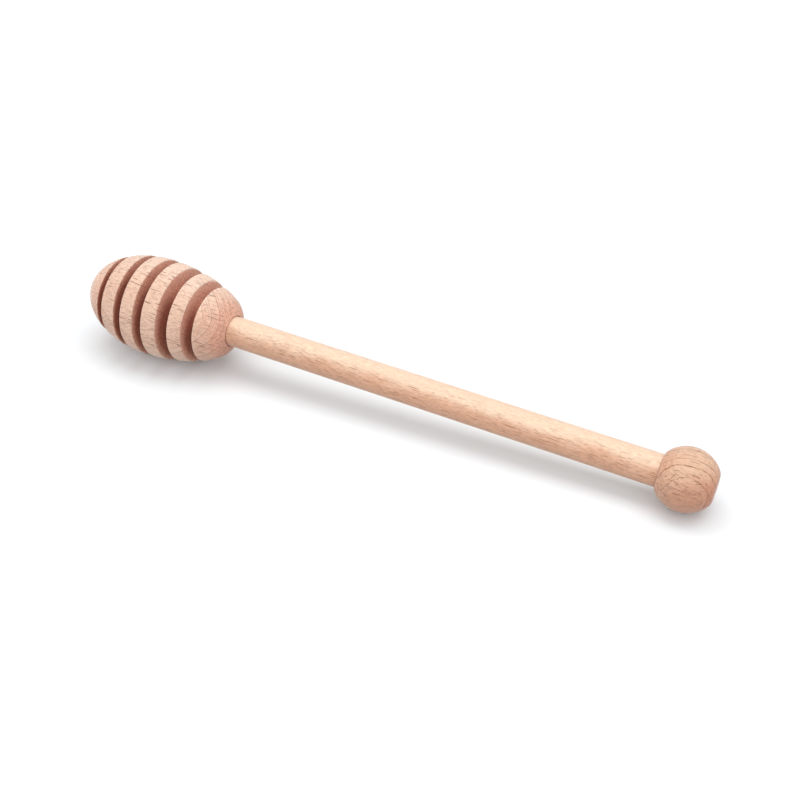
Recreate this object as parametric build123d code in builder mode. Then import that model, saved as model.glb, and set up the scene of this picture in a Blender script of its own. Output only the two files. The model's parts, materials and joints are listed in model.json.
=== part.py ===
"""Wooden honey dipper: a grooved egg-shaped head, a dowel handle and a ball knob.

The dipper lies at rest on the plane Z = 0. Its long axis runs along X, with the knob at +X,
and leans down towards the knob, because the head is thicker than the ball.
All lengths are in millimetres. A station is a distance along the turning axis, counted from
the face where the rod leaves the head (0), positive towards the knob.
"""

import os
from math import asin, atan2, cos, degrees, hypot, sin, sqrt

from build123d import *

# Handle rod, a straight round dowel
rod_diameter = 8.0
rod_length = 134.7
rod_end_chamfer = 0.6

# Grooved head, turned from one block
belly_diameter = 26.5
belly_to_rod_face = 24.0
nose_reach = 20.5
rod_face_diameter = 12.0
rod_face_round = 6.7
core_diameter = 11.0
cap_width = 6.7
groove_width = 2.7
rib_width = 4.1
edge_break = 0.2
head_socket_depth = 12.0

# Widths from the rod side to the nose, as shares of the groove and rib width above
groove_width_shares = (1.08, 1.22, 0.98, 0.87, 0.78)
rib_width_shares = (0.86, 1.02, 0.97, 1.16)

# End knob, a drilled ball
ball_diameter = 15.5
outer_flat_distance = 6.9
neck_flat_distance = 6.2
flat_edge_round = 1.0
knob_socket_depth = 8.0

# Glue room round the rod's ends
glue_clearance = 0.05
glue_end_gap = 0.3

# Overrun of cuts
overrun = 1.0

quarter_turn = 90

rod_radius = rod_diameter / 2
belly_radius = belly_diameter / 2
rod_face_radius = rod_face_diameter / 2
core_radius = core_diameter / 2
ball_radius = ball_diameter / 2
socket_radius = rod_radius + glue_clearance

# Stations
belly_station = -belly_to_rod_face
rod_start = -(head_socket_depth - glue_end_gap)
rod_end = rod_start + rod_length
knob_face_station = rod_end - (knob_socket_depth - glue_end_gap)
ball_station = knob_face_station + neck_flat_distance
outer_flat_station = ball_station + outer_flat_distance


# The egg is two half ellipses that share the belly. The back one passes through the rim of the
# flat where the rod enters, and would end behind it.
back_reach = belly_to_rod_face / sqrt(1 - (rod_face_radius / belly_radius) ** 2)


def egg_radius(station):
    """Radius of the uncut egg at a station."""
    reach = nose_reach if station < belly_station else back_reach
    return belly_radius * sqrt(1 - ((station - belly_station) / reach) ** 2)


def lean_over(station):
    """Lean of a line that touches the ball and the egg at this station, seen from the side."""
    run = ball_station - station
    drop = egg_radius(station)
    return atan2(drop, run) - asin(ball_radius / hypot(run, drop))


# Groove walls, from the rod side to the nose: pairs of stations (rod side, nose side).
# The floor touches the ball and the rim of a rib, the one that makes the axis lean most.
grooves = []
rim_stations = []
wall = -cap_width
for groove_share, rib_share in zip(groove_width_shares, rib_width_shares + (0,)):
    far_wall = wall - groove_width * groove_share
    grooves.append((wall, far_wall))
    rim_stations += [wall + edge_break, far_wall - edge_break]
    wall = far_wall - rib_width * rib_share
lean = max(lean_over(station) for station in rim_stations)

# Place of the turning axis, so that the box of the dipper stands centred on the origin
nose_x = belly_station * cos(lean) - hypot(nose_reach * cos(lean), belly_radius * sin(lean))
outer_flat_radius = sqrt(ball_radius**2 - outer_flat_distance**2)
knob_x = outer_flat_station * cos(lean) + outer_flat_radius * sin(lean)
axis_start = Vector(-(nose_x + knob_x) / 2, 0, ball_station * sin(lean) + ball_radius)
axis_way = Vector(cos(lean), 0, -sin(lean))

# Drawing plane through the axis: its X is the station, its Y the radius
lathe = Plane(origin=axis_start, x_dir=axis_way, z_dir=(0, -1, 0))
spindle = Axis(axis_start, axis_way)


def across(station, way=1):
    """Plane square to the axis at a station, facing the knob (1) or the head (-1)."""
    return Plane(origin=lathe.from_local_coords(Vector(station, 0)), z_dir=axis_way * way)


# Head: the egg, flat where the rod enters
with BuildPart() as grooved_head:
    with BuildSketch(lathe) as egg_half:
        with BuildLine():
            rod_face_angle = degrees(asin(rod_face_radius / belly_radius))
            egg_back = EllipticalCenterArc(
                (belly_station, 0), back_reach, belly_radius, start_angle=rod_face_angle,
                arc_size=quarter_turn - rod_face_angle,
            )
            egg_nose = EllipticalCenterArc(
                (belly_station, 0), nose_reach, belly_radius, start_angle=quarter_turn,
                arc_size=quarter_turn,
            )
            Polyline(egg_nose @ 1, (0, 0), egg_back @ 0)
        make_face()
    revolve(axis=spindle)
    rod_face_rim = grooved_head.edges().filter_by(GeomType.CIRCLE).sort_by(spindle)[-1]
    fillet(rod_face_rim, rod_face_round)

    # Grooves, cut square down to the core, with the rims of the ribs broken at 45 degrees
    with BuildSketch(lathe) as groove_profiles:
        for rod_side, nose_side in grooves:
            rod_lip = egg_radius(rod_side) - edge_break
            nose_lip = egg_radius(nose_side) - edge_break
            with BuildLine():
                Polyline(
                    (rod_side, core_radius),
                    (rod_side, rod_lip),
                    (rod_side + overrun, rod_lip + overrun),
                    (nose_side - overrun, nose_lip + overrun),
                    (nose_side, nose_lip),
                    (nose_side, core_radius),
                    close=True,
                )
            make_face()
    revolve(axis=spindle, mode=Mode.SUBTRACT)

    # Blind socket for the rod
    with Locations(across(0)):
        Hole(radius=socket_radius, depth=head_socket_depth)
grooved_head.part.label = "grooved_head"

# Rod: both ends are hidden in their sockets
with BuildPart() as handle_rod:
    with BuildSketch(across(rod_start)) as rod_section:
        Circle(rod_radius)
    extrude(amount=rod_length)
    chamfer(handle_rod.edges().filter_by(GeomType.CIRCLE), rod_end_chamfer)
handle_rod.part.label = "handle_rod"

# Knob: a ball with a flat at each end, drilled from the neck
with BuildPart() as end_knob:
    with BuildSketch(lathe) as ball_half:
        with BuildLine():
            outer_angle = degrees(asin(outer_flat_distance / ball_radius))
            neck_angle = degrees(asin(neck_flat_distance / ball_radius))
            ball_line = CenterArc(
                (ball_station, 0), ball_radius, start_angle=quarter_turn - outer_angle,
                arc_size=outer_angle + neck_angle,
            )
            Polyline(ball_line @ 1, (knob_face_station, 0), (outer_flat_station, 0), ball_line @ 0)
        make_face()
    revolve(axis=spindle)
    fillet(end_knob.edges().filter_by(GeomType.CIRCLE), flat_edge_round)
    with Locations(across(knob_face_station, way=-1)):
        Hole(radius=socket_radius, depth=knob_socket_depth)
end_knob.part.label = "end_knob"

os.makedirs("parts", exist_ok=True)
export_step(grooved_head.part, "parts/grooved_head.step")
export_step(handle_rod.part, "parts/handle_rod.step")
export_step(end_knob.part, "parts/end_knob.step")

print("lean of the axis, degrees:", round(degrees(lean), 3))
print("length along the axis:", round(outer_flat_station - belly_station + nose_reach, 2))
print("axis start:", [round(value, 4) for value in axis_start])
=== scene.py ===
import json
from math import acos, asin, atan2, ceil, cos, hypot, pi, radians, sin, sqrt

import bmesh
import bpy
from mathutils import Matrix, Vector, noise


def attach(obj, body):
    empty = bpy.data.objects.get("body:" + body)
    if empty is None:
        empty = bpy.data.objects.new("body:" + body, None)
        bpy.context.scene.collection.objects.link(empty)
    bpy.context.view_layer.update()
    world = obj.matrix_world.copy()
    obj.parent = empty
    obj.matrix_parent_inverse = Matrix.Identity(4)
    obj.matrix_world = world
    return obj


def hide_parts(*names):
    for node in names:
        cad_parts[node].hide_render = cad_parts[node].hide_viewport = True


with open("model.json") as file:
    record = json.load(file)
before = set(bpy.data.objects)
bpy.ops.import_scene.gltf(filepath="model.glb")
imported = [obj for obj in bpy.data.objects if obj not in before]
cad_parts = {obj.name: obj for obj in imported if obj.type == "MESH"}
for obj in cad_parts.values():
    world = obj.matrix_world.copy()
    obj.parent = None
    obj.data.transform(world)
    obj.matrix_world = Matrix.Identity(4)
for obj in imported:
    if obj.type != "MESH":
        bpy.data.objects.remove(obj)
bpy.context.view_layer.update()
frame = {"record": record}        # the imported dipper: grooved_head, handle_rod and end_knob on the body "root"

mm = 0.001
nearly = 0.01        # mm by which two places may differ and still count as one

# The turning axis, from the flat at the knob's end. Stations run along it in mm, from the face
# where the rod leaves the head (0) to the knob (positive) and to the nose (negative).
knobFlat = next(m for m in frame["record"]["mounts"] if m["name"] == "knob_end_face")
axisWay = Vector(knobFlat["axis"]).normalized()
sideWay = Vector((0, 1, 0))
liftWay = axisWay.cross(sideWay)
outerFlatStation = 128.4
axisStart = Vector(knobFlat["pos_m"]) - axisWay * outerFlatStation * mm
layDown = Matrix((axisWay, sideWay, liftWay)).transposed().to_4x4()
layDown.translation = axisStart


# Tools for the shapes. Outlines are lists of (station, radius) in mm.
toolSettings = {
    "weldWidth": 0.001,       # points closer than this, in mm, become one
    "sharpTurn": 35.0,        # degrees at an edge from which it counts as sharp and is rounded
    "smoothTurn": 32.0,       # degrees at an edge up to which it is shaded smooth
}
wearSettings = {
    "leastRadius": 4.3,       # mm from the axis; the bores inside it keep their size
    "broadScale": 0.11,
    "smallScale": 0.6,
    "broadShare": 0.7,
    "smallShare": 0.3,
    "seedShift": (31.7, 17.3, 7.9),
}


def onlySelect(obj):
    bpy.ops.object.select_all(action="DESELECT")
    bpy.context.view_layer.objects.active = obj
    obj.select_set(True)


def turnOnLathe(name, outline, segments):        # rings extruded from point to point of the outline
    bpy.ops.object.select_all(action="DESELECT")
    station, radius = outline[0]
    bpy.ops.mesh.primitive_circle_add(
        vertices=segments, radius=radius * mm, fill_type="TRIFAN",
        location=(station * mm, 0, 0), rotation=(0, pi / 2, 0),
    )
    piece = bpy.context.active_object
    piece.name = name
    onlySelect(piece)
    bpy.ops.object.transform_apply(location=True, rotation=True, scale=True)
    bpy.ops.object.mode_set(mode="EDIT")
    bpy.ops.mesh.select_mode(type="EDGE")
    bpy.ops.mesh.select_all(action="DESELECT")
    mesh = bmesh.from_edit_mesh(piece.data)
    for edge in mesh.edges:
        edge.select_set(edge.is_boundary)
    bmesh.update_edit_mesh(piece.data)
    for nextStation, nextRadius in outline[1:]:
        bpy.ops.mesh.extrude_edges_move(
            TRANSFORM_OT_translate={"value": ((nextStation - station) * mm, 0, 0)}
        )
        scale = nextRadius / radius
        bpy.ops.transform.resize(value=(1, scale, scale), center_override=(nextStation * mm, 0, 0))
        station, radius = nextStation, nextRadius
    bpy.ops.mesh.fill()        # the last ring is closed, at the bottom of a bore or at an end
    bpy.ops.mesh.select_all(action="SELECT")
    bpy.ops.mesh.remove_doubles(threshold=toolSettings["weldWidth"] * mm)
    bpy.ops.mesh.normals_make_consistent(inside=False)
    bpy.ops.mesh.select_all(action="DESELECT")
    bpy.ops.object.mode_set(mode="OBJECT")
    return piece


def between(start, end, step):        # evenly spaced values after start, up to and with end
    count = max(1, ceil(abs(end - start) / step))
    return [start + (end - start) * (i + 1) / count for i in range(count)]


def breakRims(piece, test, width, steps):        # rounds the sharp edges whose place passes the test
    onlySelect(piece)
    bpy.ops.object.mode_set(mode="EDIT")
    bpy.ops.mesh.select_mode(type="EDGE")
    bpy.ops.mesh.select_all(action="DESELECT")
    mesh = bmesh.from_edit_mesh(piece.data)
    for edge in mesh.edges:
        sharp = edge.is_manifold and edge.calc_face_angle(0) > radians(toolSettings["sharpTurn"])
        edge.select_set(sharp and test((edge.verts[0].co + edge.verts[1].co) / 2))
    bmesh.update_edit_mesh(piece.data)
    bpy.ops.mesh.bevel(offset=width * mm, segments=steps, affect="EDGES")
    bpy.ops.mesh.select_all(action="DESELECT")
    bpy.ops.object.mode_set(mode="OBJECT")


def wearSkin(piece, dip, seed, s=wearSettings):        # hand sanding: the skin dips, never swells
    shift = Vector([seed * step for step in s["seedShift"]])
    for vert in piece.data.vertices:
        place = vert.co / mm
        radius = hypot(place.y, place.z)
        if radius < s["leastRadius"]:
            continue
        broad = noise.noise(place * s["broadScale"] + shift) * 0.5 + 0.5
        small = noise.noise(place * s["smallScale"] + shift) * 0.5 + 0.5
        worn = 1 - dip * (s["broadShare"] * broad + s["smallShare"] * small) / radius
        vert.co.y *= worn
        vert.co.z *= worn


# Point attribute "hollow": above 0 it darkens the skin, as painted shade in the head's grooves and as dark
# joints in the sockets and at the bore's mouth; below 0 it lays a painted highlight on the head's rims and nose
def addDepth(piece, depthOf):
    layer = piece.data.attributes.new("hollow", "FLOAT", "POINT")
    for vert in piece.data.vertices:
        place = vert.co / mm
        radius, turn = hypot(place.y, place.z), atan2(place.z, place.y)
        layer.data[vert.index].value = depthOf(place.x, radius, turn)


def finishPiece(piece, material, node):        # smooth, laid down, given its material, put on the body root in place of the frame's part
    onlySelect(piece)
    bpy.ops.object.shade_smooth_by_angle(angle=radians(toolSettings["smoothTurn"]))
    piece.matrix_world = layDown
    bpy.ops.object.transform_apply(location=True, rotation=True, scale=True)
    piece.data.materials.append(material)
    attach(piece, "root")
    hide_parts(node)
    print(piece.name, "finished,", len(piece.data.polygons), "faces")


# Tools for the materials
def link(tree, value, socket):        # joins a socket, or writes a fixed value on it
    if isinstance(value, bpy.types.NodeSocket):
        tree.links.new(value, socket)
    else:
        socket.default_value = value


def addNode(tree, kind, inputs=None, **settings):
    node = tree.nodes.new("ShaderNode" + kind)
    gap, rows = 230, 5
    column, row = divmod(len(tree.nodes), rows)
    node.location = (gap * column, -gap * row)
    for name, value in settings.items():
        setattr(node, name, value)
    for name, value in (inputs or {}).items():
        link(tree, value, node.inputs[name])
    return node


def maths(tree, operation, first, second=0.0):
    return addNode(tree, "Math", {0: first, 1: second}, operation=operation).outputs[0]


def vectors(tree, operation, first, second=(0.0, 0.0, 0.0)):
    return addNode(tree, "VectorMath", {0: first, 1: second}, operation=operation).outputs[0]


def lengthOf(tree, vector):
    return vectors(tree, "LENGTH", vector).node.outputs["Value"]


def joined(tree, x, y, z):
    return addNode(tree, "CombineXYZ", {0: x, 1: y, 2: z}).outputs[0]


def ramp(tree, value, fromLow, fromHigh, low=0.0, high=1.0):        # soft step between two values
    return addNode(tree, "MapRange", {
        "Value": value, "From Min": fromLow, "From Max": fromHigh, "To Min": low, "To Max": high,
    }, interpolation_type="SMOOTHSTEP").outputs[0]


def tinted(tree, colour, tint, amount=1.0):        # multiplies a colour by a tint, by a share of it
    return addNode(tree, "Mix", {0: amount, 6: colour, 7: tint}, data_type="RGBA",
                   blend_type="MULTIPLY", clamp_factor=True).outputs[2]


def blended(tree, share, colour, other):        # goes from one colour to the other
    return addNode(tree, "Mix", {0: share, 6: colour, 7: other}, data_type="RGBA").outputs[2]


def noiseAt(tree, vector, stretch, detail=2.0, roughness=0.5, shift=(0, 0, 0)):
    place = addNode(tree, "Mapping", {"Vector": vector, "Scale": stretch, "Location": shift}).outputs[0]
    return addNode(tree, "TexNoise", {
        "Vector": place, "Scale": 1.0, "Detail": detail, "Roughness": roughness,
    })


# Moves a place by noise, up to half the reach each way
def swayedBy(tree, vector, noiseNode, reach):
    sway = vectors(tree, "SUBTRACT", noiseNode.outputs["Color"], (0.5, 0.5, 0.5))
    return vectors(tree, "ADD", vector, vectors(tree, "MULTIPLY", sway, reach))


def startGroup(name, inputs, outputs):        # a shader node group with named sockets
    tree = bpy.data.node_groups.new(name, "ShaderNodeTree")
    for label, kind, value in inputs:
        socket = tree.interface.new_socket(label, in_out="INPUT", socket_type="NodeSocket" + kind)
        if value is not None:
            socket.default_value = value
    for label, kind in outputs:
        tree.interface.new_socket(label, in_out="OUTPUT", socket_type="NodeSocket" + kind)
    return tree, tree.nodes.new("NodeGroupInput").outputs, tree.nodes.new("NodeGroupOutput").inputs


# Scattered lenses: a cell's size in mm, its ratio to half a lens, and the share of empty cells.
# The draws of a cell say how large its lens is and whether it has one.
def lensMask(tree, vector, cell, ratio, empty):
    spot = vectors(tree, "DIVIDE", vector, cell)
    cells = addNode(tree, "TexVoronoi", {"Vector": spot, "Scale": 1.0, "Randomness": 1.0})
    offset = vectors(tree, "SUBTRACT", spot, cells.outputs["Position"])
    draws = addNode(tree, "SeparateColor", {0: cells.outputs["Color"]}).outputs
    shrink = ramp(tree, draws[1], 0.0, 1.0, 0.8, 1.6)
    away = maths(tree, "MULTIPLY", lengthOf(tree, vectors(tree, "MULTIPLY", offset, ratio)), shrink)
    softLens = ramp(tree, away, 0.55, 1.0, 1.0, 0.0)
    present = ramp(tree, draws[0], empty, empty + 0.25)
    return maths(tree, "MULTIPLY", softLens, present)


# What the wood of all three pieces shares
beechSettings = {
    "pith": 42.0,                     # mm from the wood frame's middle to the middle of the tree
    "goodYears": 1.6,                 # how much wider some years grow than others
    "curlsPerYear": 3.0,
    "largeFleck": (1.3, 3.0, 14.0),   # cells: shares of the fleck's length and width, depth in mm
    "fineFleck": (0.6, 1.6, 5.0),
    "largeLens": (2.1, 6.5, 2.0),     # the cells' sizes over half a fleck's
    "fineLens": (2.6, 4.6, 2.0),
    "emptyCells": 0.1,
    "fineStrength": 0.65,
    # a painted highlight: the pale, cool lift laid on the head's rims and nose
    "paintedHighlightTint": (1.02, 1.05, 1.08, 1),
    "darkSideSway": 3.0,                 # mm that the edge of the darker side wanders in all
    "reliefDepth": 0.12,              # mm
    "leastRoughness": 0.5,
    "sheenRoughness": 0.4,
}
figureMasks = (
    "Rings", "Bands", "Curl", "Flecks", "Fine Flecks", "Fibre", "Speckle", "Patches", "End Face",
)


def fleckCell(tree, given, shares):
    long = maths(tree, "MULTIPLY", given["Fleck Length"], shares[0])
    wide = maths(tree, "MULTIPLY", given["Fleck Width"], shares[1])
    return joined(tree, long, wide, shares[2])


# Beech in a frame of mm: X with the fibre, Y across it, Z square to the growth rings
def buildBeechFigure(s):
    tree, given, out = startGroup("beechFigure", [
        ("Vector", "Vector", None), ("Facing", "Vector", None), ("Ring Width", "Float", 1.4),
        ("Ring Bend", "Float", 0.5), ("Ring Ripple", "Float", 0.1), ("Ring Line", "Float", 0.25),
        ("Ring Face", "Float", 0.3), ("Fleck Length", "Float", 1.8), ("Fleck Width", "Float", 0.22),
        ("Wave", "Float", 0.3),
    ], [(name, "Float") for name in figureMasks])
    place = given["Vector"]
    faces = addNode(tree, "SeparateXYZ", {0: vectors(tree, "ABSOLUTE", given["Facing"])}).outputs
    endFace, barkFace = faces[0], faces[2]
    slant = maths(tree, "SUBTRACT", 1.0, maths(tree, "MULTIPLY", barkFace, barkFace))
    slant = maths(tree, "SQRT", maths(tree, "MAXIMUM", 0.01, slant))
    # growth rings: shells round a pith far off, bent and rippled by the way that the tree grew
    bend, ripple = given["Ring Bend"], given["Ring Ripple"]
    broadNoise = noiseAt(tree, place, (0.05, 0.16, 0.16))
    smallNoise = noiseAt(tree, place, (0.2, 0.45, 0.45), 3.0, 0.6, (4, 6, 8))
    bent = swayedBy(tree, place, broadNoise, joined(tree, bend, bend, bend))
    bent = swayedBy(tree, bent, smallNoise, joined(tree, 0.0, 0.0, ripple))
    parts = addNode(tree, "SeparateXYZ", {0: bent}).outputs
    fromPith = lengthOf(tree, joined(tree, 0.0, parts[1], maths(tree, "ADD", parts[2], s["pith"])))
    fromPith = maths(tree, "SUBTRACT", fromPith, s["pith"])
    years = addNode(tree, "TexNoise", {
        "W": maths(tree, "MULTIPLY", fromPith, 0.45), "Scale": 1.0, "Detail": 1.0,
    }, noise_dimensions="1D").outputs[0]
    goodYears = maths(tree, "MULTIPLY", years, s["goodYears"])
    phase = maths(tree, "ADD", maths(tree, "DIVIDE", fromPith, given["Ring Width"]), goodYears)
    rise = maths(tree, "FRACT", phase)
    lineWidth = maths(tree, "MULTIPLY", given["Ring Line"], slant)
    lineWidth = maths(tree, "DIVIDE", lineWidth, given["Ring Width"])
    line = ramp(tree, maths(tree, "SUBTRACT", 1.0, rise), 0.0, lineWidth, 1.0, 0.0)
    breaks = noiseAt(tree, place, (0.3, 0.6, 0.6), 3.0, 0.6, (9, 4, 2)).outputs[0]
    broken = ramp(tree, breaks, 0.28, 0.52, 0.3, 1.0)
    onBark = maths(tree, "MAXIMUM", given["Ring Face"], ramp(tree, endFace, 0.12, 0.45))
    softEnd = ramp(tree, endFace, 0.6, 0.95, 1.0, 0.45)
    inSlant = maths(tree, "MULTIPLY", ramp(tree, slant, 0.2, 0.6, 0.1, 1.0), softEnd)
    line = maths(tree, "MULTIPLY", line, maths(tree, "MULTIPLY", broken, inSlant))
    link(tree, maths(tree, "MULTIPLY", line, onBark), out["Rings"])
    link(tree, maths(tree, "MULTIPLY", ramp(tree, rise, 0.3, 0.55), onBark), out["Bands"])
    # curl: broken thin lines inside a year's growth, which wander over the bark side
    curlRise = maths(tree, "FRACT", maths(tree, "MULTIPLY", phase, s["curlsPerYear"]))
    curlWidth = maths(tree, "MULTIPLY", lineWidth, s["curlsPerYear"])
    thin = ramp(tree, maths(tree, "SUBTRACT", 1.0, curlRise), 0.0, curlWidth, 1.0, 0.0)
    gaps = noiseAt(tree, place, (0.35, 1.1, 1.1), 2.0, 0.5, (2, 9, 5)).outputs[0]
    bits = ramp(tree, gaps, 0.47, 0.6)
    link(tree, maths(tree, "MULTIPLY", maths(tree, "MULTIPLY", thin, bits), inSlant), out["Curl"])
    # ray flecks, sheets that stand square to the rings: dashes on the bark side, lines on end grain
    sway = given["Wave"]
    longWaves = noiseAt(tree, place, (0.16, 0.4, 0.2), 2.0, 0.5, (3, 8, 5))
    shortWaves = noiseAt(tree, place, (0.5, 0.9, 0.9), 1.0, 0.5, (7, 1, 4))
    longReach = joined(tree, 0.6, maths(tree, "MULTIPLY", sway, 2.0), 0.6)
    shortReach = joined(tree, 0.0, maths(tree, "MULTIPLY", sway, 0.4), 0.0)
    swayed = swayedBy(tree, swayedBy(tree, place, longWaves, longReach), shortWaves, shortReach)
    thickets = noiseAt(tree, place, (0.14, 0.3, 0.3), 2.0, 0.5, (1, 2, 7)).outputs[0]
    zones = ramp(tree, thickets, 0.32, 0.58, 0.35, 1.0)
    seenOnBark = ramp(tree, barkFace, 0.2, 0.7, 0.12, 1.0)
    seenOnEnd = ramp(tree, endFace, 0.2, 0.8, 0.0, 0.4)
    seen = maths(tree, "MAXIMUM", seenOnBark, seenOnEnd)
    largeCell = fleckCell(tree, given, s["largeFleck"])
    large = lensMask(tree, swayed, largeCell, s["largeLens"], s["emptyCells"])
    link(tree, maths(tree, "MULTIPLY", maths(tree, "MULTIPLY", large, zones), seen), out["Flecks"])
    aside = vectors(tree, "ADD", swayed, (5.3, 2.1, 8.7))
    fineCell = fleckCell(tree, given, s["fineFleck"])
    fine = lensMask(tree, aside, fineCell, s["fineLens"], s["emptyCells"])
    onSide = maths(tree, "MULTIPLY", seen, ramp(tree, endFace, 0.3, 0.7, 1.0, 0.0))
    link(tree, maths(tree, "MULTIPLY", fine, onSide), out["Fine Flecks"])
    # fibre, speckled pores and broad patches
    fibre = noiseAt(tree, swayed, (0.55, 3.2, 3.2), 3.0, 0.6)
    speckle = noiseAt(tree, place, (0.9, 1.5, 1.5), 3.0, 0.7, (2, 5, 1))
    patches = noiseAt(tree, place, (0.035, 0.12, 0.12), 3.0, 0.55, (6, 1, 3))
    link(tree, fibre.outputs[0], out["Fibre"])
    link(tree, speckle.outputs[0], out["Speckle"])
    link(tree, patches.outputs[0], out["Patches"])
    link(tree, endFace, out["End Face"])
    return tree


tintValues = {        # the tint group's colours and their keys in a piece's wood
    "Pale": "pale", "Deep": "deep", "Ring Tint": "ringTint", "Band Tint": "bandTint",
    "Fleck Tint": "fleckTint", "End Tint": "endTint", "Hollow Tint": "shadeAndJointTint",
    "Dark Side Tint": "darkSideTint",
}


def buildBeechTint(s):        # puts the figure's masks together as colour, relief and roughness
    shares = figureMasks + ("End Grain", "Hollow", "Painted Highlight", "Dark Side")
    tree, given, out = startGroup(
        "beechTint",
        [(name, "Float", 0.0) for name in shares] + [(name, "Color", None) for name in tintValues]
        + [("Curl Strength", "Float", 0.5)],
        [("Colour", "Color"), ("Height", "Float"), ("Roughness", "Float")],
    )
    endGrain = given["End Grain"]
    colour = blended(tree, ramp(tree, given["Patches"], 0.3, 0.7), given["Pale"], given["Deep"])
    colour = tinted(tree, colour, ramp(tree, given["Fibre"], 0.28, 0.72, 0.9, 1.06))
    pores = ramp(tree, given["Speckle"], 0.3, 0.7, 0.76, 1.16)
    poreShare = maths(tree, "ADD", 0.3, maths(tree, "MULTIPLY", endGrain, 0.6))
    colour = tinted(tree, colour, pores, poreShare)
    colour = tinted(tree, colour, given["Dark Side Tint"], given["Dark Side"])
    colour = tinted(tree, colour, given["Band Tint"], given["Bands"])
    colour = tinted(tree, colour, given["Ring Tint"], given["Rings"])
    fineFlecks = maths(tree, "MULTIPLY", given["Fine Flecks"], s["fineStrength"])
    curl = maths(tree, "MULTIPLY", given["Curl"], given["Curl Strength"])
    flecks = maths(tree, "MAXIMUM", maths(tree, "MAXIMUM", given["Flecks"], fineFlecks), curl)
    colour = tinted(tree, colour, given["Fleck Tint"], flecks)
    # under the painted highlight the end grain tint mostly drops and the colour is lifted pale and cool
    offHighlight = maths(tree, "SUBTRACT", 1.0, maths(tree, "MULTIPLY", given["Painted Highlight"], 0.9))
    colour = tinted(tree, colour, given["End Tint"], maths(tree, "MULTIPLY", endGrain, offHighlight))
    colour = tinted(tree, colour, s["paintedHighlightTint"], given["Painted Highlight"])
    # painted shade in the head's grooves, and dark joints in the sockets and bore mouths
    colour = tinted(tree, colour, given["Hollow Tint"], given["Hollow"])
    link(tree, colour, out["Colour"])
    # relief: flecks and ring lines lie low, and end grain is calmer
    fleckDip = maths(tree, "MULTIPLY", flecks, 0.7)
    ringDip = maths(tree, "MULTIPLY", given["Rings"], 0.5)
    fibreRise = maths(tree, "MULTIPLY", given["Fibre"], 0.6)
    speckleRise = maths(tree, "MULTIPLY", given["Speckle"], 0.4)
    relief = maths(tree, "SUBTRACT", maths(tree, "ADD", fibreRise, speckleRise),
                   maths(tree, "ADD", fleckDip, ringDip))
    calm = maths(tree, "SUBTRACT", 1.0, maths(tree, "MULTIPLY", endGrain, 0.7))
    link(tree, maths(tree, "MULTIPLY", relief, calm), out["Height"])
    fibreRough = maths(tree, "MULTIPLY", given["Fibre"], 0.12)
    endRough = maths(tree, "MULTIPLY", endGrain, 0.12)
    rough = maths(tree, "ADD", fibreRough, endRough)
    link(tree, maths(tree, "ADD", rough, s["leastRoughness"]), out["Roughness"])
    return tree


def buildTurningMarks():        # faint rings left by the cutter and the sandpaper while the work spun
    tree, given, out = startGroup("turningMarks", [("Vector", "Vector", None)], [("Height", "Float")])
    parts = addNode(tree, "SeparateXYZ", {0: given["Vector"]}).outputs
    radius = lengthOf(tree, joined(tree, 0.0, parts[1], parts[2]))
    marks = noiseAt(tree, joined(tree, parts[0], radius, 0.0), (5.5, 5.5, 1.0), 3.0, 0.6)
    link(tree, marks.outputs[0], out["Height"])
    return tree


beechFigure = buildBeechFigure(beechSettings)
beechTint = buildBeechTint(beechSettings)
turningMarks = buildTurningMarks()
figureValues = {        # the figure group's sockets and their keys in a piece's wood
    "Ring Width": "ringWidth", "Ring Bend": "ringBend", "Ring Ripple": "ringRipple",
    "Ring Line": "ringLine", "Ring Face": "ringFace", "Fleck Length": "fleckLength",
    "Fleck Width": "fleckWidth", "Wave": "wave",
}


def grainTurning(tilt, turn):        # turns the wood frame a little against the piece's axis
    return Matrix.Rotation(radians(tilt), 3, "Y") @ Matrix.Rotation(radians(turn), 3, "Z")


# Mapping values that take metres of the object to mm of the wood, with Z at the roll round the axis
def woodFrame(roll, tilt=0, turn=0):
    normal = sideWay * cos(radians(roll)) + liftWay * sin(radians(roll))
    rows = grainTurning(tilt, turn) @ Matrix((axisWay, normal.cross(axisWay), normal))
    return {"Location": -(rows @ (axisStart / mm)), "Rotation": rows.to_euler("XYZ"),
            "Scale": (1 / mm,) * 3}


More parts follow.
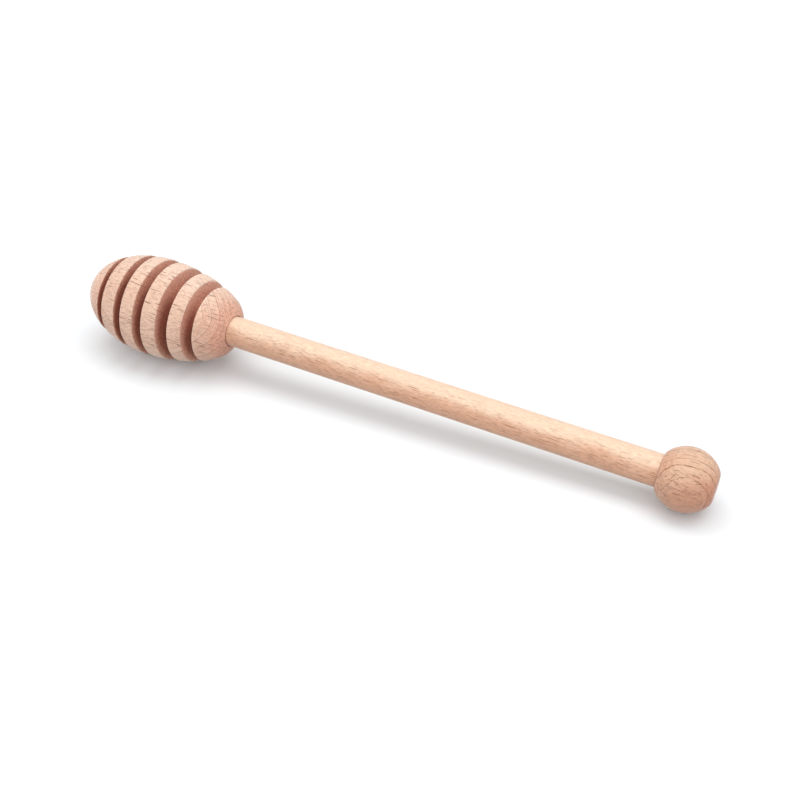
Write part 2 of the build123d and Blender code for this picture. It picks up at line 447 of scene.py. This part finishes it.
def beechMaterial(name, s):
    material = bpy.data.materials.new(name)
    material.use_nodes = True
    tree = material.node_tree
    shader = tree.nodes["Principled BSDF"]
    coordinates = addNode(tree, "TexCoord").outputs
    # the piece's own middle is the middle of the wood frame
    grain = woodFrame(s["ringRoll"], s["grainTilt"], s["grainTurn"])
    middle = grainTurning(s["grainTilt"], s["grainTurn"]) @ Vector((s["centre"], 0, 0))
    grain["Location"] -= middle - Vector((0, 0, s["ringShift"]))
    place = addNode(tree, "Mapping", {"Vector": coordinates["Object"], **grain}).outputs[0]
    facing = addNode(tree, "Mapping", {"Vector": coordinates["Normal"], "Rotation": grain["Rotation"]},
                     vector_type="VECTOR").outputs[0]
    figure = addNode(tree, "Group", {"Vector": place, "Facing": facing}, node_tree=beechFigure)
    for label, key in figureValues.items():
        figure.inputs[label].default_value = s[key]
    tint = addNode(tree, "Group", node_tree=beechTint)
    for socket in figure.outputs:
        link(tree, socket, tint.inputs[socket.name])
    for label, key in tintValues.items():
        tint.inputs[label].default_value = (*s[key], 1)
    tint.inputs["Curl Strength"].default_value = s["curl"]
    endGrain = ramp(tree, figure.outputs["End Face"], s["endFrom"], s["endTo"])
    link(tree, endGrain, tint.inputs["End Grain"])
    # the hollow attribute: above 0 painted shade and dark joints, below 0 the painted highlight
    hollow = addNode(tree, "Attribute", attribute_name="hollow").outputs["Fac"]
    link(tree, ramp(tree, hollow, s["hollowFrom"], s["hollowTo"]), tint.inputs["Hollow"])
    link(tree, ramp(tree, hollow, -1.0, -0.2, 1.0, 0.0), tint.inputs["Painted Highlight"])
    # one side of each piece is darker and redder
    turned = addNode(tree, "Mapping", {"Vector": coordinates["Object"], **woodFrame(90)}).outputs[0]
    roll, lean = radians(s["darkSideRoll"]), radians(s["darkSideLean"])
    darkSideWay = (sin(lean), cos(lean) * cos(roll), cos(lean) * sin(roll))
    depth = vectors(tree, "DOT_PRODUCT", turned, darkSideWay).node.outputs["Value"]
    depth = maths(tree, "SUBTRACT", depth, s["centre"] * sin(lean))
    sway = beechSettings["darkSideSway"]
    uneven = noiseAt(tree, place, (0.12, 0.35, 0.35), 2.0, 0.5, (8, 3, 9)).outputs[0]
    depth = maths(tree, "ADD", depth, maths(tree, "MULTIPLY", uneven, sway))
    darkSide = ramp(tree, depth, s["darkSideFrom"] + sway / 2, s["darkSideTo"] + sway / 2)
    link(tree, darkSide, tint.inputs["Dark Side"])
    marks = addNode(tree, "Group", {"Vector": turned}, node_tree=turningMarks).outputs[0]
    marks = maths(tree, "MULTIPLY", marks, s["turnedRelief"])
    height = maths(tree, "ADD", tint.outputs["Height"], marks)
    reliefDepth = beechSettings["reliefDepth"] * mm
    bump = addNode(tree, "Bump", {"Strength": s["relief"], "Distance": reliefDepth, "Height": height})
    link(tree, tint.outputs["Colour"], shader.inputs["Base Color"])
    link(tree, tint.outputs["Roughness"], shader.inputs["Roughness"])
    link(tree, bump.outputs[0], shader.inputs["Normal"])
    shader.inputs["Specular IOR Level"].default_value = s["gloss"]
    shader.inputs["Sheen Weight"].default_value = s["sheen"]
    shader.inputs["Sheen Roughness"].default_value = beechSettings["sheenRoughness"]
    print(name, "made")
    return material


# The head
headSettings = {
    "bellyRadius": 13.25,
    "bellyStation": -24.0,
    "noseReach": 20.5,
    "rodFaceRadius": 6.0,
    "rodFaceRound": 6.7,
    "coreRadius": 5.5,
    "capWidth": 6.7,
    "grooves": (2.916, 3.294, 2.646, 2.349, 2.106),    # from the rod side to the nose
    "ribs": (3.526, 4.182, 3.977, 4.756),
    "rimBreak": 0.14,         # width of the rounded rims
    "rimSteps": 3,
    "noseRings": 26,
    "tipTurn": 0.6,           # degrees between the nose's tip and its first ring
    "ringStep": 0.55,
    "wallStep": 0.7,
    "roundTurn": 4.0,         # degrees between the rings of the round by the rod
    "boreRadius": 4.05,
    "boreBreak": 0.18,        # the worn edge of the bore, a dark line round the rod
    "boreLine": 0.04,         # a ring this close to the mouth keeps that line crisp
    "boreDepth": 12.0,
    "boreStep": 1.5,
    "segments": 224,
    "wear": 0.05,             # greatest dip of the sanded skin
    "nickDepth": 0.12,        # torn fibre along the rims
    "nickWidth": 0.35,        # how far from a wall the tears reach
    "nickFloor": 0.4,         # how far below the egg they stop
    "nickGrain": (38, 0.8),   # scale of the tears round the axis and along it
    "capStation": -6.0,       # from here to the rod only the mouth of the bore is dark
    "mouthHollow": 3.0,
    "noseSheen": 0.75,         # strength of the painted pale sheen on the nose, reached after noseFade mm
    "noseFade": 3.0,
    "rimWidth": 0.2,          # width of the painted highlight on the rims, along the axis and inwards
    "grooveShadeShares": (9.0, 4.4, 1.9, 1.6, 1.3),        # strength of the painted shade in the grooves, nose side first
    "hollowLeast": 0.04,      # share of that painted shade on the lit side
    "hollowFall": 1.4,        # how fast it grows away from that side
    "litTurn": 50.0,         # degrees round the axis of the lit side
}
headWood = {
    "centre": -22.0,          # station of the wood frame's middle
    "ringRoll": 139.0,        # degrees round the axis that the rings face; 90 is up, 180 is -Y
    "grainTilt": 0.0,
    "grainTurn": 1.5,
    "ringShift": 0.0,
    "ringWidth": 1.33,        # mm of a year's growth
    "ringBend": 0.9,
    "ringRipple": 0.3,
    "ringLine": 0.26,
    "ringFace": 0.08,         # how much of the rings shows on the bark side
    "fleckLength": 2.5,
    "fleckWidth": 0.2,
    "wave": 0.2,              # how far the flecks wander
    "pale": (0.94, 0.70, 0.55),
    "deep": (0.87, 0.615, 0.475),
    "ringTint": (0.58, 0.44, 0.37),
    "bandTint": (0.975, 0.93, 0.91),
    "fleckTint": (0.29, 0.17, 0.13),
    "endTint": (0.92, 0.72, 0.68),
    # painted shade in the grooves, and the dark joint at the bore's mouth
    "shadeAndJointTint": (0.6, 0.38, 0.3),
    "hollowFrom": 0.0,
    "hollowTo": 3.0,
    "darkSideTint": (0.935, 0.86, 0.83),
    "darkSideRoll": 155.0,       # where the darker side faces, degrees round the axis
    "darkSideLean": 0.0,         # and degrees from there towards the knob
    "darkSideFrom": 4.5,         # mm from the axis where it starts
    "darkSideTo": 11.0,          # and where it is full
    "endFrom": 0.22,
    "endTo": 0.85,
    "relief": 0.6,
    "turnedRelief": 0.4,
    "gloss": 0.3,
    "sheen": 0.3,
    "curl": 0.4,
}


def eggRadius(station, s=headSettings):
    away = station - s["bellyStation"]
    reach = s["noseReach"] if away < 0 else backReach(s)
    return s["bellyRadius"] * sqrt(max(0, 1 - (away / reach) ** 2))


def backReach(s):
    return -s["bellyStation"] / sqrt(1 - (s["rodFaceRadius"] / s["bellyRadius"]) ** 2)


def eggSlope(station, s):        # angle of the egg's fall towards the rod
    away = station - s["bellyStation"]
    return atan2(s["bellyRadius"] ** 2 * away / (backReach(s) ** 2 * eggRadius(station)), 1)


def headOutline(s):
    walls = []        # stations of the groove walls, from the nose to the rod side
    station = -s["capWidth"]
    for groove, rib in zip(s["grooves"], s["ribs"] + (0,)):
        walls += [station, station - groove]
        station = walls[-1] - rib
    walls.reverse()
    # where the round by the rod starts: one radius inside the egg is one radius behind the face
    bend = s["rodFaceRound"]
    halvings = 40
    low, high = -bend, -0.01
    for _ in range(halvings):
        start = (low + high) / 2
        if start - bend * sin(eggSlope(start, s)) < -bend:
            low = start
        else:
            high = start
    noseStart = pi / 2 - radians(s["tipTurn"])
    noseEnd = asin((s["bellyStation"] - walls[0]) / s["noseReach"])
    outline = []
    for i in range(s["noseRings"] + 1):
        turn = noseStart - (noseStart - noseEnd) * i / s["noseRings"]
        station = s["bellyStation"] - s["noseReach"] * sin(turn)
        outline.append((station, eggRadius(station)))
    core = s["coreRadius"]
    for i in range(0, len(walls), 2):        # into a groove, along the core, out, along the rib
        noseSide, rodSide = walls[i], walls[i + 1]
        outline += [(noseSide, r) for r in between(eggRadius(noseSide), core, s["wallStep"])]
        outline += [(x, core) for x in between(noseSide, rodSide, s["wallStep"])]
        outline += [(rodSide, r) for r in between(core, eggRadius(rodSide), s["wallStep"])]
        ribEnd = walls[i + 2] if i + 2 < len(walls) else start
        outline += [(x, eggRadius(x)) for x in between(rodSide, ribEnd, s["ringStep"])]
    slope = eggSlope(start, s)
    middle = eggRadius(start) - bend * cos(slope)
    mouth = s["boreRadius"] + s["boreBreak"]
    mouthTurn = acos((mouth - middle) / bend)
    lineTurn = acos((mouth + s["boreLine"] - middle) / bend)
    turns = between(slope, lineTurn, radians(s["roundTurn"])) + [mouthTurn]
    outline += [(-bend + bend * sin(turn), middle + bend * cos(turn)) for turn in turns]
    mouthStation = outline[-1][0] - s["boreBreak"]
    outline.append((mouthStation, s["boreRadius"]))
    outline += [(x, s["boreRadius"]) for x in between(mouthStation, -s["boreDepth"], s["boreStep"])]
    return outline, walls


def nickRims(piece, walls, s):        # small tears where the cutter left the rims of the ribs
    for vert in piece.data.vertices:
        place = vert.co / mm
        radius = hypot(place.y, place.z)
        near = min(abs(place.x - wall) for wall in walls)
        depth = eggRadius(place.x) - radius
        if radius < s["coreRadius"] + 1 or near > s["nickWidth"] or depth > s["nickFloor"]:
            continue
        turn = atan2(place.z, place.y)
        roundScale, alongScale = s["nickGrain"]
        spot = Vector((cos(turn) * roundScale, sin(turn) * roundScale, place.x * alongScale))
        small = max(0, noise.noise(spot) - 0.25) * 2
        broad = max(0, noise.noise(spot * 0.3) - 0.1) * 0.5
        scale = 1 - s["nickDepth"] * (small + broad) * (1 - near / s["nickWidth"]) / radius
        vert.co.y *= scale
        vert.co.z *= scale


def headHollow(station, radius, turn, s=headSettings):        # below 0 a painted highlight on the rims and nose, above 0 painted shade in the grooves and the dark joint at the bore's mouth
    if station > s["capStation"]:
        inMouth = radius < s["boreRadius"] + s["boreBreak"] + nearly
        return s["mouthHollow"] if inMouth else 0.0
    # painted pale sheen on the nose
    if station < walls[0] - s["rimWidth"]:
        return -s["noseSheen"] * min(1, (walls[0] - station) / s["noseFade"])
    near = min(abs(station - wall) for wall in walls)
    depth = eggRadius(station) - radius
    # painted highlight along the rims of the ribs
    if near < s["rimWidth"] and depth < s["rimWidth"]:
        return -1.0
    middles = [(noseSide + rodSide) / 2 for noseSide, rodSide in zip(walls[::2], walls[1::2])]
    groove = min(range(len(middles)), key=lambda i: abs(station - middles[i]))
    # painted shade: least on the side that faces the light, growing away from it and with depth
    front = (0.5 - 0.5 * cos(turn - radians(s["litTurn"]))) ** s["hollowFall"]
    share = s["hollowLeast"] + (1 - s["hollowLeast"]) * front
    return max(0, depth - s["rimWidth"]) * s["grooveShadeShares"][groove] * share


def onHeadRims(place):        # true for edges of the ribs, not for those of the core and the bore
    outside = hypot(place.y, place.z) > (headSettings["coreRadius"] + 1) * mm
    return outside and place.x < -headSettings["capWidth"] / 2 * mm


outline, walls = headOutline(headSettings)
head = turnOnLathe("groovedHead", outline, headSettings["segments"])
breakRims(head, onHeadRims, headSettings["rimBreak"], headSettings["rimSteps"])
nickRims(head, walls, headSettings)
wearSkin(head, headSettings["wear"], 1)
addDepth(head, headHollow)
finishPiece(head, beechMaterial("beechHead", headWood), "grooved_head")

# The rod
rodSettings = {
    "radius": 4.0,
    "start": -11.7,
    "end": 123.0,
    "endBreak": 0.6,
    "joints": ((-0.32, -0.24), (115.18, 115.24)),    # where the joints' dark lines start and end
    "hub": 0.3,               # radius of the innermost ring of an end
    "endStep": 1.0,
    "ringStep": 1.5,
    "segments": 128,
}
rodWood = {
    "centre": 55.0,
    "ringRoll": 182.0,
    "grainTilt": 0.4,
    "grainTurn": 1.5,
    "ringShift": 0.0,
    "ringWidth": 1.7,
    "ringBend": 0.5,
    "ringRipple": 0.1,
    "ringLine": 0.25,
    "ringFace": 0.1,
    "fleckLength": 3.2,
    "fleckWidth": 0.16,
    "wave": 0.35,
    "pale": (0.92, 0.665, 0.49),
    "deep": (0.90, 0.655, 0.48),
    "ringTint": (0.8, 0.66, 0.58),
    "bandTint": (0.98, 0.95, 0.93),
    "fleckTint": (0.48, 0.32, 0.25),
    "endTint": (0.92, 0.72, 0.68),
    "shadeAndJointTint": (0.42, 0.25, 0.19),
    "hollowFrom": 0.2,
    "hollowTo": 0.8,
    "darkSideTint": (0.84, 0.67, 0.6),
    "darkSideRoll": 185.0,
    "darkSideLean": 0.0,
    "darkSideFrom": 1.4,
    "darkSideTo": 3.9,
    "endFrom": 0.3,
    "endTo": 0.98,
    "relief": 0.6,
    "turnedRelief": 0.0,
    "gloss": 0.3,
    "sheen": 0.35,
    "curl": 0.2,
}


def rodOutline(s):
    tip = s["radius"] - s["endBreak"]
    outline = [(s["start"], s["hub"])]
    outline += [(s["start"], r) for r in between(s["hub"], tip, s["endStep"])]
    station = s["start"] + s["endBreak"]
    outline.append((station, s["radius"]))
    for start, end in s["joints"]:        # two rings close together at each joint keep its line crisp
        outline += [(x, s["radius"]) for x in between(station, start, s["ringStep"])]
        outline.append((end, s["radius"]))
        station = end
    lastStation = s["end"] - s["endBreak"]
    outline += [(x, s["radius"]) for x in between(station, lastStation, s["ringStep"])]
    outline.append((s["end"], tip))
    outline += [(s["end"], r) for r in between(tip, s["hub"], s["endStep"])]
    return outline


def rodHollow(station, radius, turn):        # 1 inside the sockets and 0 between them
    headJoint, knobJoint = rodSettings["joints"]
    return float(station < headJoint[0] + nearly or station > knobJoint[1] - nearly)


rod = turnOnLathe("handleRod", rodOutline(rodSettings), rodSettings["segments"])
addDepth(rod, rodHollow)
finishPiece(rod, beechMaterial("beechRod", rodWood), "handle_rod")

# The knob
knobSettings = {
    "radius": 7.75,
    "centre": 121.5,
    "outerFlat": 6.9,
    "neckFlat": 6.2,
    "outerRound": 3.0,
    "neckRound": 1.0,
    "ringTurn": 4.0,          # degrees between rings
    "roundTurn": 9.0,         # and in the rounds by the flats
    "hub": 0.25,
    "flatStep": 0.5,
    "boreRadius": 4.05,
    "boreBreak": 0.12,
    "boreDepth": 8.0,
    "boreStep": 1.5,
    "boreHollow": 2.0,        # how dark the bore and its mouth are
    "boreEnd": 124.0,         # a station between the bore's bottom and the outer flat
    "segments": 160,
    "wear": 0.05,
}
knobWood = {
    "centre": 121.5,
    "ringRoll": 185.0,
    "grainTilt": -6.0,
    "grainTurn": 6.0,
    "ringShift": 0.9,
    "ringWidth": 2.0,
    "ringBend": 3.0,
    "ringRipple": 1.3,
    "ringLine": 0.22,
    "ringFace": 1.0,
    "fleckLength": 1.8,
    "fleckWidth": 0.16,
    "wave": 0.7,
    "pale": (0.80, 0.53, 0.37),
    "deep": (0.75, 0.48, 0.33),
    "ringTint": (0.5, 0.34, 0.26),
    "bandTint": (0.975, 0.94, 0.92),
    "fleckTint": (0.42, 0.28, 0.22),
    "endTint": (0.9, 0.76, 0.72),
    "shadeAndJointTint": (0.42, 0.25, 0.19),
    "hollowFrom": 0.2,
    "hollowTo": 0.8,
    "darkSideTint": (0.87, 0.71, 0.67),
    "darkSideRoll": 195.0,
    "darkSideLean": 30.0,
    "darkSideFrom": 2.0,
    "darkSideTo": 7.0,
    "endFrom": 0.3,
    "endTo": 0.98,
    "relief": 0.7,
    "turnedRelief": 0.1,
    "gloss": 0.3,
    "sheen": 0.45,
    "curl": 1.0,
}


def flatCorner(s, flat, bend):        # the round between the ball and a flat, from the ball's angle
    middle = flat - bend
    radius = sqrt((s["radius"] - bend) ** 2 - middle ** 2)
    start = atan2(middle, radius)
    turns = between(start, pi / 2, radians(s["roundTurn"]))
    return start, [(middle + bend * sin(turn), radius + bend * cos(turn)) for turn in turns]


def knobOutline(s):
    centre = s["centre"]
    neckAngle, neckRound = flatCorner(s, s["neckFlat"], s["neckRound"])
    outerAngle, outerRound = flatCorner(s, s["outerFlat"], s["outerRound"])
    neckStation, outerStation = centre - s["neckFlat"], centre + s["outerFlat"]
    bottom, mouth = neckStation + s["boreDepth"], neckStation + s["boreBreak"]
    outline = [(bottom, s["boreRadius"])]
    outline += [(x, s["boreRadius"]) for x in between(bottom, mouth, s["boreStep"])]
    outline.append((neckStation, s["boreRadius"] + s["boreBreak"]))
    outline += [(centre - x, r) for x, r in reversed(neckRound[:-1])]
    for turn in between(-neckAngle, outerAngle, radians(s["ringTurn"])):
        outline.append((centre + s["radius"] * sin(turn), s["radius"] * cos(turn)))
    outline += [(centre + x, r) for x, r in outerRound]
    outline += [(outerStation, r) for r in between(outerRound[-1][1], s["hub"], s["flatStep"])]
    return outline


def knobHollow(station, radius, turn, s=knobSettings):        # above 0 in the bore and its mouth
    inBore = radius < s["boreRadius"] + s["boreBreak"] + nearly and station < s["boreEnd"]
    return s["boreHollow"] if inBore else 0.0


knob = turnOnLathe("endKnob", knobOutline(knobSettings), knobSettings["segments"])
wearSkin(knob, knobSettings["wear"], 2)
addDepth(knob, knobHollow)
finishPiece(knob, beechMaterial("beechKnob", knobWood), "end_knob")

# The stage, the light and the camera
stageSettings = {
    "floorSize": 4.0,
    "floorSeen": (0.92, 0.95, 0.972),         # what the camera sees of the floor
    "floorBounce": (0.47, 0.47, 0.48),        # what lights the piece from below
    "sky": 0.87,
    "skyLean": (0.0, -0.3, 0.0),              # the light box is brighter towards the camera
    "keyPlace": (0.03, 0.115, 0.7),           # a wide lamp overhead, towards the back
    "keySize": (0.95, 0.36),
    "keyPower": 2.22,
}


def seenRay(tree):        # 1 for camera, glossy and transmission rays
    path = addNode(tree, "LightPath")
    seen = maths(tree, "MAXIMUM", path.outputs["Is Camera Ray"], path.outputs["Is Glossy Ray"])
    return maths(tree, "MAXIMUM", seen, path.outputs["Is Transmission Ray"])


def setStage(s):
    bpy.ops.object.select_all(action="DESELECT")
    bpy.ops.mesh.primitive_plane_add(size=s["floorSize"], location=(0, 0, 0))
    floor = bpy.context.active_object
    floor.name = "floor"
    paper = bpy.data.materials.new("whitePaper")
    paper.use_nodes = True
    tree = paper.node_tree
    tree.nodes.remove(tree.nodes["Principled BSDF"])
    colour = blended(tree, seenRay(tree), (*s["floorBounce"], 1), (*s["floorSeen"], 1))
    diffuse = addNode(tree, "BsdfDiffuse", {"Color": colour})
    link(tree, diffuse.outputs[0], tree.nodes["Material Output"].inputs["Surface"])
    floor.data.materials.append(paper)

    world = bpy.data.worlds.new("softBox")
    world.use_nodes = True
    bpy.context.scene.world = world
    tree = world.node_tree
    direction = addNode(tree, "TexCoord").outputs["Generated"]
    lean = vectors(tree, "DOT_PRODUCT", direction, s["skyLean"]).node.outputs["Value"]
    sky = maths(tree, "ADD", lean, s["sky"])
    level = addNode(tree, "Mix", {0: seenRay(tree), 2: sky, 3: 1.0}, data_type="FLOAT").outputs[0]
    link(tree, level, tree.nodes["Background"].inputs["Strength"])
    tree.nodes["Background"].inputs["Color"].default_value = (1, 1, 1, 1)

    bpy.ops.object.light_add(type="AREA", location=s["keyPlace"])
    lamp = bpy.context.active_object
    lamp.name = "overheadLamp"
    lamp.data.shape = "RECTANGLE"
    lamp.data.size, lamp.data.size_y = s["keySize"]
    lamp.data.energy = s["keyPower"]


cameraSettings = {
    "azimuth": 25.876,        # degrees; 0 looks along +Y
    "elevation": 38.123,
    "lens": 50.0,
    "sensor": 36.0,
    "aim": (3.232, 6.786, 0.0),        # point of the floor in the middle of the picture, in mm
    "distance": 290.07,       # mm
    "clip": 0.01,
}


def placeCamera(s):
    turn, lift = radians(s["azimuth"]), radians(s["elevation"])
    back = Vector((sin(turn) * cos(lift), -cos(turn) * cos(lift), sin(lift)))
    place = (Vector(s["aim"]) + back * s["distance"]) * mm
    bpy.ops.object.camera_add(location=place, rotation=(pi / 2 - lift, 0, turn))
    camera = bpy.context.active_object
    camera.data.lens = s["lens"]
    camera.data.sensor_width = s["sensor"]
    camera.data.clip_start = s["clip"]
    bpy.context.scene.camera = camera


setStage(stageSettings)
placeCamera(cameraSettings)
bpy.context.scene.view_settings.view_transform = "Standard"
print("stage, light and camera placed")
